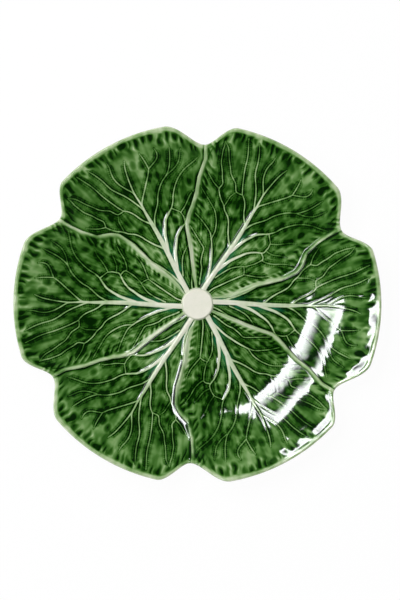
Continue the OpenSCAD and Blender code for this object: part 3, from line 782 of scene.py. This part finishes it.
def shape_sheet(name, upper):
    """The sheet moved to its places, with its marks kept at the corners"""
    sheet = flat_sheet()
    mesh = bpy.data.meshes.new(name)
    sheet.to_mesh(mesh)
    sheet.free()
    corners = np.empty(3 * len(mesh.vertices))
    mesh.vertices.foreach_get("co", corners)
    u, v, side = corners.reshape(-1, 3).T
    v = (v + 1) / 2
    places, marks = np.empty((len(u), 3)), {}
    for rows, shape in ((side > 0, front_corners), (side < 0, back_corners)):
        radius, angle, z, made = shape(u[rows], v[rows], upper)
        places[rows] = np.stack([radius * np.cos(np.radians(angle)),
                                 radius * np.sin(np.radians(angle)), z], 1) * MM
        for key, values in made.items():
            marks.setdefault(key, np.empty(len(u)))[rows] = values
    mesh.vertices.foreach_set("co", places.ravel())
    for key, values in marks.items():
        mesh.attributes.new(key, "FLOAT", "POINT").data.foreach_set(
            "value", values.astype(np.float32))
    mesh.shade_smooth()
    mesh.update()
    return mesh


sheets = {upper: shape_sheet("upper_leaf" if upper else "lower_leaf", upper)
          for upper in (False, True)}
for sheet in sheets.values():
    sheet.calc_loop_triangles()
    print(sheet.name, len(sheet.vertices), "corners", len(sheet.loop_triangles), "triangles")

# %% [markdown]
# ## Writing materials as expressions
# A material is a net of small nodes. To keep it readable, a wire can be used in plain
# arithmetic here: adding two wires puts in the node that adds them. Every other kind of
# node comes from one method, which takes its settings and what goes into its sockets.
# %% A wire


class Wire:
    """A node's output that Python's operators work on"""

    def __init__(self, finish, socket):
        self.finish, self.socket = finish, socket

    def math(self, operation, *others):
        """The node for one step of arithmetic on numbers"""
        return self.finish.node("ShaderNodeMath", {"operation": operation},
                                dict(enumerate([self, *others])))

    def __add__(self, other):
        return self.math("ADD", other)

    def __mul__(self, other):
        return self.math("MULTIPLY", other)

    def __sub__(self, other):
        return self.math("SUBTRACT", other)

    def __truediv__(self, other):
        return self.math("DIVIDE", other)

    def __rsub__(self, other):
        return self * -1 + other

    __radd__, __rmul__ = __add__, __mul__

    def between(self, start, end):
        """A soft step from 0 at the start to 1 at the end"""
        return self.finish.node(
            "ShaderNodeMapRange", {"interpolation_type": "SMOOTHSTEP"},
            {"Value": self, "From Min": start, "From Max": end}, "Result")

    def wave(self, pitch):
        """A wave from -1 to 1 along a distance"""
        return (self * (2 * pi / pitch)).math("SINE")


# %% A finish


class Finish:
    """A material, and the nodes that are put into it"""

    def __init__(self, name):
        self.material = bpy.data.materials.new(name)
        self.material.use_nodes = True
        self.tree = self.material.node_tree
        self.tree.nodes.clear()

    def node(self, kind, settings=None, sockets=None, output=0):
        """Add a node, and give back the wire that leaves it"""
        node = self.tree.nodes.new(kind)
        for key, value in (settings or {}).items():
            if key == "stops":
                for stop, (place, colour) in enumerate(value):
                    mark = (node.color_ramp.elements[stop] if stop < 2
                            else node.color_ramp.elements.new(place))
                    mark.position, mark.color = place, (*colour, 1)
            else:
                setattr(node, key, value)
        for key, value in (sockets or {}).items():
            if isinstance(value, Wire):
                self.tree.links.new(value.socket, node.inputs[key])
            else:
                node.inputs[key].default_value = value
        return Wire(self, node.outputs[output]) if node.outputs else node

    def mark(self, name):
        """A number that the mesh keeps at its corners"""
        return self.node("ShaderNodeAttribute", {"attribute_name": name}, output="Fac")

    def vector(self, operation, sockets, output=0):
        """Arithmetic on places and directions"""
        return self.node("ShaderNodeVectorMath", {"operation": operation}, sockets, output)

    def place(self):
        """The place on the object, in millimetres"""
        place = self.node("ShaderNodeTexCoord", output="Object")
        return self.vector("SCALE", {0: place, "Scale": 1 / MM})

    def from_middle(self, place):
        """The place with its height left out, and its distance from the plate's middle"""
        flat = self.vector("MULTIPLY", {0: place, 1: (1, 1, 0)})
        return flat, self.vector("LENGTH", {0: flat}, "Value")

    def noise(self, place, size, detail=2.0):
        """Cloudy values round 0, with lumps of about the given size"""
        return self.node("ShaderNodeTexNoise", {}, {
            "Vector": place, "Scale": 1 / size, "Detail": detail}) - 0.5

    def blend(self, share, first, second):
        """From the first colour to the second"""
        return self.node("ShaderNodeMix", {"data_type": "RGBA"},
                         {0: share, 6: first, 7: second}, 2)

    def finish_with(self, colour, roughness, height):
        """Glossy glaze of this colour, with a height in millimetres as its bump"""
        bump = self.node("ShaderNodeBump", {}, {"Height": height, "Distance": MM})
        shader = self.node("ShaderNodeBsdfPrincipled", {}, {
            "Base Color": colour, "Roughness": roughness, "Normal": bump, "IOR": 1.5})
        self.node("ShaderNodeOutputMaterial", {}, {"Surface": shader})
        print(self.material.name, "has", len(self.tree.nodes), "nodes")
        return self.material


# %% [markdown]
# ## Green glaze over cream clay
# Glaze is coloured glass. Light passes through it, meets the pale clay and comes back, so
# twice the glaze takes away twice the share of light. Copper green keeps most of its
# green light and loses red and blue fast. A colour ramp holds that law, worked out here
# for a few thicknesses, and the thickness at each corner of the leaf picks the colour.
# %% Work out the glaze's colours
CLAY = (0.8, 0.775, 0.675)
TAKEN = (3.25, 1.98, 4.0)
THICKNESSES = (0, 0.08, 0.2, 0.35, 0.55, 0.8, 1.1, 1.45, 1.8, 2.05)
THICKEST = THICKNESSES[-1]


def glazed(depth):
    """The clay's colour through glaze of some thickness"""
    return tuple(clay * exp(-taken * depth) for clay, taken in zip(CLAY, TAKEN))


def glaze_over(paint, depth):
    """The same colours, picked at each place of a surface"""
    stops = [(thickness / THICKEST, glazed(thickness)) for thickness in THICKNESSES]
    return paint.node("ShaderNodeValToRGB", {"stops": stops}, {"Fac": depth / THICKEST},
                      "Color")


print("glaze of thickness 1 is", [round(v, 3) for v in glazed(1)])

# %% [markdown]
# Brushed glaze is never even. Three sizes of cloud make it thicker and thinner: broad
# ones from the dip, streaks that run outwards with the leaf, and fine mottling. Beside
# each vein the mould maker's tool left a row of small strokes across the groove, which
# we draw as waves along the vein that fade away from it.
# %% Glaze the leaves
SPOKES, STREAK_LENGTH = 26.0, 20
STROKE_PITCH, STITCH_PITCH = 1.5, 2.4
SEA_GREEN = (0.015, 0.2, 0.09, 1)


def leaf_glaze():
    """Green glaze as thick as the leaf's corners say, made uneven"""
    paint = Finish("leaf glaze")
    place = paint.place()
    flat, radius = paint.from_middle(place)
    spokes = paint.vector("SCALE", {0: paint.vector("NORMALIZE", {0: flat}), "Scale": SPOKES})
    streak_place = paint.vector("ADD", {
        0: spokes, 1: paint.node("ShaderNodeCombineXYZ", {}, {"Z": radius / STREAK_LENGTH})})
    cloud = paint.noise(place, 18, 1)
    streak = paint.noise(streak_place, 1, 1)
    mottle = paint.noise(place, 6, 0)

    near, way = paint.mark("vein_near"), paint.mark("vein_way")
    feather_place = paint.node("ShaderNodeCombineXYZ", {}, {"X": way / 3, "Y": near / 14})
    feather = paint.noise(feather_place, 1, 0) * (1 - near.between(2.5, 6.0))
    uneven = (cloud * 1.3 + streak * 1.9 + mottle * 0.4 + feather * 0.9).math("EXPONENT")
    strokes = way.wave(STROKE_PITCH) * near.between(0.05, 0.4) * (1 - near.between(1.1, 2.0))
    stitches = (near.between(1.6, 2.0) * (1 - near.between(2.2, 2.7))
                * (way.wave(STITCH_PITCH) + 1) * streak.between(-0.1, 0.1))
    depth = paint.mark("glaze_depth") * (uneven + strokes * 0.14 + stitches * 0.2)
    colour = paint.blend(paint.mark("sea_tint") * 0.6, glaze_over(paint, depth), SEA_GREEN)
    height = mottle * 0.004 - near.between(0, 0.5) * 0.012
    return paint.finish_with(colour, 0.05 + mottle * 0.04, height)


leaf_finish = leaf_glaze()

# %% [markdown]
# The cut stalk is almost bare: a thin clear glaze over clay, a little darker where glaze
# gathers round its foot. The underside has the same green as the leaves, brushed on
# round and round while the plate turned, and the foot's face is wiped back to dry clay
# so that it does not stick to the kiln shelf.
# %% Glaze the stalk and the foot
DRY_CLAY = [(0.62, 0.55, 0.43, 1), (0.74, 0.68, 0.56, 1)]


def stalk_glaze():
    """Thin glaze with a faint cloud in it"""
    paint = Finish("stalk glaze")
    place = paint.place()
    cloud, mottle = paint.noise(place, 5), paint.noise(place, 0.9, 3)
    depth = paint.mark("glaze_depth") + cloud * 0.05 + mottle * 0.03
    return paint.finish_with(glaze_over(paint, depth), 0.08 + mottle * 0.06, cloud * 0.12)


def foot_glaze():
    """Brushed glaze, wiped off below a wavering line"""
    paint = Finish("foot glaze")
    place = paint.place()
    _, radius = paint.from_middle(place)
    cloud, mottle = paint.noise(place, 8), paint.noise(place, 1.6, 3)
    rings = (radius + cloud * 3).math("SINE")
    depth = cloud * 1.2 + rings * 0.12 + mottle * 0.8 + 1
    level = paint.node("ShaderNodeSeparateXYZ", {}, {0: place}, "Z")
    wiped = 1 - (level + mottle * 0.5).between(0.55, 0.85)
    colour = paint.blend(wiped, glaze_over(paint, depth), paint.blend(mottle + 0.5, *DRY_CLAY))
    return paint.finish_with(colour, 0.1 + mottle * 0.05 + wiped * 0.6,
                             rings * 0.05 + mottle * wiped * 0.15)


stalk_finish, foot_finish = stalk_glaze(), foot_glaze()

# %% [markdown]
# ## Six leaves
# The mould repeats its leaf, so two sheets make all six. Each copy is turned to its place
# and brought in a little to the plate's slight oval, and both are put into its mesh. The
# object itself stays at the middle of the plate, so the glaze's clouds, which follow the
# object's own coordinates, run on from leaf to leaf and no two leaves look the same.
# %% Set the leaves round the stalk


def add_piece(name, mesh, finish, slot, *nodes):
    """Put a mesh into the scene as the piece that stands for some of the solid's nodes"""
    mesh.materials.append(finish)
    piece = bpy.data.objects.new(name, mesh)
    bpy.context.scene.collection.objects.link(piece)
    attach(piece, "root")
    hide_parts(*nodes)


for number in range(1, 7):
    mesh = sheets[number % 2 == 0].copy()
    turn = Matrix.Rotation(radians(LEAF_TURN * (number - 1)), 4, "Z")
    mesh.transform(Matrix.Diagonal((1, OVAL, 1, 1)) @ turn)
    add_piece(f"leaf_blade_{number}", mesh, leaf_finish, "leaf_glaze",
              f"leaf_{number}", f"midrib_{number}", f"side_veins_{number}")
for sheet in sheets.values():
    bpy.data.meshes.remove(sheet)
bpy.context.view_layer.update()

# %% [markdown]
# ## The stalk end and the foot
# Both are round, and a potter would turn them on a wheel. We do the same: draw half of
# the section as a chain of points and spin it once round.
# %% Turn a round piece


def turned(name, section, steps=144):
    """A closed solid from half a section, given as radius and height in millimetres"""
    mesh = bmesh.new()
    corners = [mesh.verts.new((r * MM, 0, z * MM)) for r, z in section]
    edges = [mesh.edges.new(pair) for pair in zip(corners, corners[1:])]
    bmesh.ops.spin(mesh, geom=corners + edges, axis=(0, 0, 1), cent=(0, 0, 0),
                   angle=2 * pi, steps=steps, use_merge=True)
    bmesh.ops.remove_doubles(mesh, verts=mesh.verts, dist=0.001 * MM)
    bmesh.ops.recalc_face_normals(mesh, faces=mesh.faces)
    made = bpy.data.meshes.new(name)
    mesh.to_mesh(made)
    mesh.free()
    made.shade_smooth()
    print(name, "has", len(made.polygons), "faces")
    return made


def arc(middle, radius, start, end, steps=8):
    """Points on part of a circle, angles in degrees"""
    return [(middle[0] + radius * cos(radians(a)), middle[1] + radius * sin(radians(a)))
            for a in np.linspace(start, end, steps + 1)]


# %% [markdown]
# The stalk's top is slightly dished, its edge is round, and its side flows out into the
# leaves. Glaze runs off the top and gathers in the corner round the foot of that side,
# so the thickness is kept at the mesh's corners here too, from their distance to the
# middle.
# %% Turn the stalk end
TOP_ROUND, FILLET = 1.2, 1.2
DISH_R, DISH_DEPTH = 9, 0.18

dish = [(r, STALK_TOP - DISH_DEPTH * (1 - (r / DISH_R) ** 2) ** 2)
        for r in np.linspace(0, DISH_R, 12)]
stalk = turned("stalk_top", (
    dish + arc((STALK_R - TOP_ROUND, STALK_TOP - TOP_ROUND), TOP_ROUND, 90, 0)
    + arc((STALK_R + FILLET, FLOOR_Z + 1), FILLET, 180, 262, 6)
    + [(STALK_R + 1.4, FLOOR_Z - 0.8), (STALK_R - 2, UNDER_Z), (0, UNDER_Z)]
))
distance = np.array([np.hypot(v.co.x, v.co.y) / MM for v in stalk.vertices])
depth = 0.01 + 0.05 * span(distance, 10, 11.2) + 0.5 * span(distance, 11.4, 12.4)
stalk.attributes.new("glaze_depth", "FLOAT", "POINT").data.foreach_set(
    "value", depth.astype(np.float32))
add_piece("stalk_top", stalk, stalk_finish, "rib_glaze", "stalk_end")
print("the glaze on it is", depth.min().round(2), "to", depth.max().round(2), "thick")

# %% [markdown]
# The foot and the base above it are one turned form. The foot stands on a flat face
# between two round edges, and the corner between it and the base is filled, as glaze and
# a wet finger leave it. The base's underside rises a little towards its middle.
# %% Turn the foot and the base
FOOT_W, FOOT_ROUND, FOOT_FILLET = 7, 1.5, 2.2
BASE_EDGE = 0.4
DOME_R, DOME_RISE = 58, 0.25

inner_r = FOOT_R - FOOT_W
foot = turned("foot_and_base", (
    [(0, UNDER_Z + 0.05), (FOOT_R - BASE_EDGE, UNDER_Z + 0.05)]
    + arc((FOOT_R - BASE_EDGE, UNDER_Z - 0.35), BASE_EDGE, 90, 0, 4)
    + [(FOOT_R - 0.15, FOOT_H), (FOOT_R, 2.6)]
    + arc((FOOT_R - FOOT_ROUND, FOOT_ROUND), FOOT_ROUND, 0, -90)
    + arc((inner_r + FOOT_ROUND, FOOT_ROUND), FOOT_ROUND, -90, -180)
    + arc((inner_r - FOOT_FILLET, FOOT_H - FOOT_FILLET), FOOT_FILLET, 0, 90)
    + [(r, FOOT_H + DOME_RISE * (1 - (r / DOME_R) ** 2)) for r in (50, 40, 28, 14, 0)]
), 192)
add_piece("foot_and_base", foot, foot_finish, "foot_glaze", "foot_ring", "base")
print("the foot is", round(2 * float(FOOT_R), 1), "mm across")

# %% [markdown]
# ## Table, light and camera
# The plate lies on plain white. The photographer's window stands at the upper left: its
# light is what draws the white bands down the lower right of the inner wall. The room is
# pale round the sides and dark overhead, behind the camera, so the glaze in the middle
# keeps its deep green.
#
# A floor lit to exactly white would need its lamps tuned for it. Instead, a part of what
# the camera sees of the floor is lit by the lamps, and the rest is plain white of its
# own, so the plate's shadow stays, but softly, as on a photographer's light table.
# %% Lay the floor
FLOOR_REACH, FLOOR_DROP = 4, 0.2 * MM
OWN_WHITE = 0.97


def table_finish():
    """White paper that is mostly its own light to the camera, and lit paper otherwise"""
    paint = Finish("white table")
    grain = paint.noise(paint.place(), 30)
    lit = paint.node("ShaderNodeBsdfDiffuse", {}, {
        "Color": paint.blend(grain + 0.5, (0.92, 0.92, 0.92, 1), (0.96, 0.96, 0.96, 1))})
    clean = paint.node("ShaderNodeEmission", {}, {"Strength": 1.0})
    seen = (paint.node("ShaderNodeLightPath", output="Is Camera Ray")
            + paint.node("ShaderNodeLightPath", output="Is Glossy Ray")
            + paint.node("ShaderNodeLightPath", output="Is Transmission Ray"))
    shader = paint.node("ShaderNodeMixShader", {}, {0: seen * OWN_WHITE, 1: lit, 2: clean})
    paint.node("ShaderNodeOutputMaterial", {}, {"Surface": shader})
    return paint.material


floor_mesh = bmesh.new()
bmesh.ops.create_grid(floor_mesh, x_segments=2, y_segments=2, size=FLOOR_REACH,
                      matrix=Matrix.Translation((0, 0, -FLOOR_DROP)))
floor_data = bpy.data.meshes.new("table")
floor_mesh.to_mesh(floor_data)
floor_mesh.free()
floor_data.materials.append(table_finish())
floor = bpy.data.objects.new("table", floor_data)
bpy.context.scene.collection.objects.link(floor)
print("the floor is", floor.dimensions.x, "m wide")

# %% [markdown]
# The window stands where its reflection says. Glaze is a mirror that faces the way the
# wall faces: where the wall leans by some angle, it shows what stands twice that angle
# from straight above. Traced back like that, the bands on the plate are one window with
# bright edges, narrower at the top, and a dim middle. One area lamp gives it, and a few
# nodes on the lamp dim its middle. The plate is turned a little against the camera, and
# so is the window.
# %% Dim the window's middle
WINDOW_W, WINDOW_H = 0.915, 0.52
LEFT_LEAN, RIGHT_LEAN = 0.25, 0.5


class Net(Finish):
    """The nodes of a lamp or of the world, written in the same way"""

    def __init__(self, owner):
        owner.use_nodes = True
        self.tree = owner.node_tree
        self.tree.nodes.clear()


def window_strength(net):
    """1 along the window's edges, falling to 0 towards its middle"""
    place = net.node("ShaderNodeNewGeometry", output="Parametric")
    across = net.node("ShaderNodeSeparateXYZ", {}, {0: place}, "X")
    up = net.node("ShaderNodeSeparateXYZ", {}, {0: place}, "Y") * WINDOW_H
    left = across * WINDOW_W - up * LEFT_LEAN
    right = (1 - across) * WINDOW_W - up * RIGHT_LEAN
    side = left.math("MINIMUM", right)
    sill = 1 - up.between(0.05, 0.15)
    head = up.between(WINDOW_H - 0.26, WINDOW_H - 0.08)
    jambs = 1 - side.between(0.03, 0.11)
    bright = sill.math("MAXIMUM", head).math("MAXIMUM", jambs)
    return bright * side.math("GREATER_THAN", 0.0)


# %% Set the window
VIEW_TURN = 2.5
WINDOW_AZIMUTH, WINDOW_HEIGHT, WINDOW_AWAY = 151.3, 66, 1.4

window = bpy.data.lights.new("window", "AREA")
window.shape = "RECTANGLE"
window.size, window.size_y = WINDOW_W, WINDOW_H
window.energy = 40
window.color = (0.97, 0.985, 1)
net = Net(window)
net.node("ShaderNodeOutputLight", {}, {
    "Surface": net.node("ShaderNodeEmission", {}, {"Strength": window_strength(net)})})
azimuth, height = radians(WINDOW_AZIMUTH + VIEW_TURN), radians(WINDOW_HEIGHT)
window_way = Vector((cos(height) * cos(azimuth), cos(height) * sin(azimuth), sin(height)))
window_object = bpy.data.objects.new("window", window)
window_object.location = window_way * WINDOW_AWAY
window_object.rotation_euler = window_way.to_track_quat("Z", "Y").to_euler()
bpy.context.scene.collection.objects.link(window_object)
print("the window stands at", [round(v, 2) for v in window_object.location])

# %% [markdown]
# The room's pale walls give the rest of the light. They end below all that the plate
# mirrors to the camera, so they lighten the glaze without a veil, and the window stays
# weak enough for its mirror image not to burn out. A ramp over the height on the sky
# draws the walls: half is level with the table, and 1 is straight overhead.
# %% Light the room
ROOM_LIGHT = 1.25
ROOM_STOPS = [(0, 1), (1, 0.01), (0.3, 0.9), (0.44, 0.6), (0.55, 0.1), (0.72, 0.03)]

world = bpy.data.worlds.new("room")
bpy.context.scene.world = world
room = Net(world)
sky = room.node("ShaderNodeTexCoord", output="Generated")
sky_height = room.node("ShaderNodeSeparateXYZ", {}, {0: sky}, "Z")
shade = room.node("ShaderNodeValToRGB", {
    "stops": [(place, (level, level, level)) for place, level in ROOM_STOPS]
}, {"Fac": sky_height}, "Color")
room.node("ShaderNodeOutputWorld", {}, {
    "Surface": room.node("ShaderNodeBackground", {}, {"Color": shade, "Strength": ROOM_LIGHT})})
print("the room's walls have", len(ROOM_STOPS), "shades")

# %% [markdown]
# The camera looks straight down through a long lens. The plate's width in the picture
# gives the lens, and the picture's middle lies a few millimetres from the plate's.
# %% Set the camera
PICTURE = (400, 600)
PLATE_PIXELS, PLATE_MIDDLE = 369.5, (197.4, 304)
CAMERA_DISTANCE, SENSOR = 2.4, 36

metres_a_pixel = 2 * TIP_R * MM / PLATE_PIXELS
aside = (PICTURE[0] / 2 - PLATE_MIDDLE[0]) * metres_a_pixel
ahead = (PLATE_MIDDLE[1] - PICTURE[1] / 2) * metres_a_pixel
view_turn = Matrix.Rotation(radians(VIEW_TURN), 4, "Z")
lens = bpy.data.cameras.new("camera")
lens.sensor_fit, lens.sensor_height = "VERTICAL", SENSOR
lens.lens = SENSOR * CAMERA_DISTANCE / (PICTURE[1] * metres_a_pixel)
lens.clip_end = 20
camera = bpy.data.objects.new("camera", lens)
camera.location = view_turn @ Vector((aside, ahead, CAMERA_DISTANCE + RIM_Z * MM))
camera.rotation_euler = (0, 0, radians(VIEW_TURN))
bpy.context.scene.collection.objects.link(camera)
bpy.context.scene.camera = camera
bpy.context.scene.view_settings.view_transform = "Standard"
print("lens", round(lens.lens), "mm")
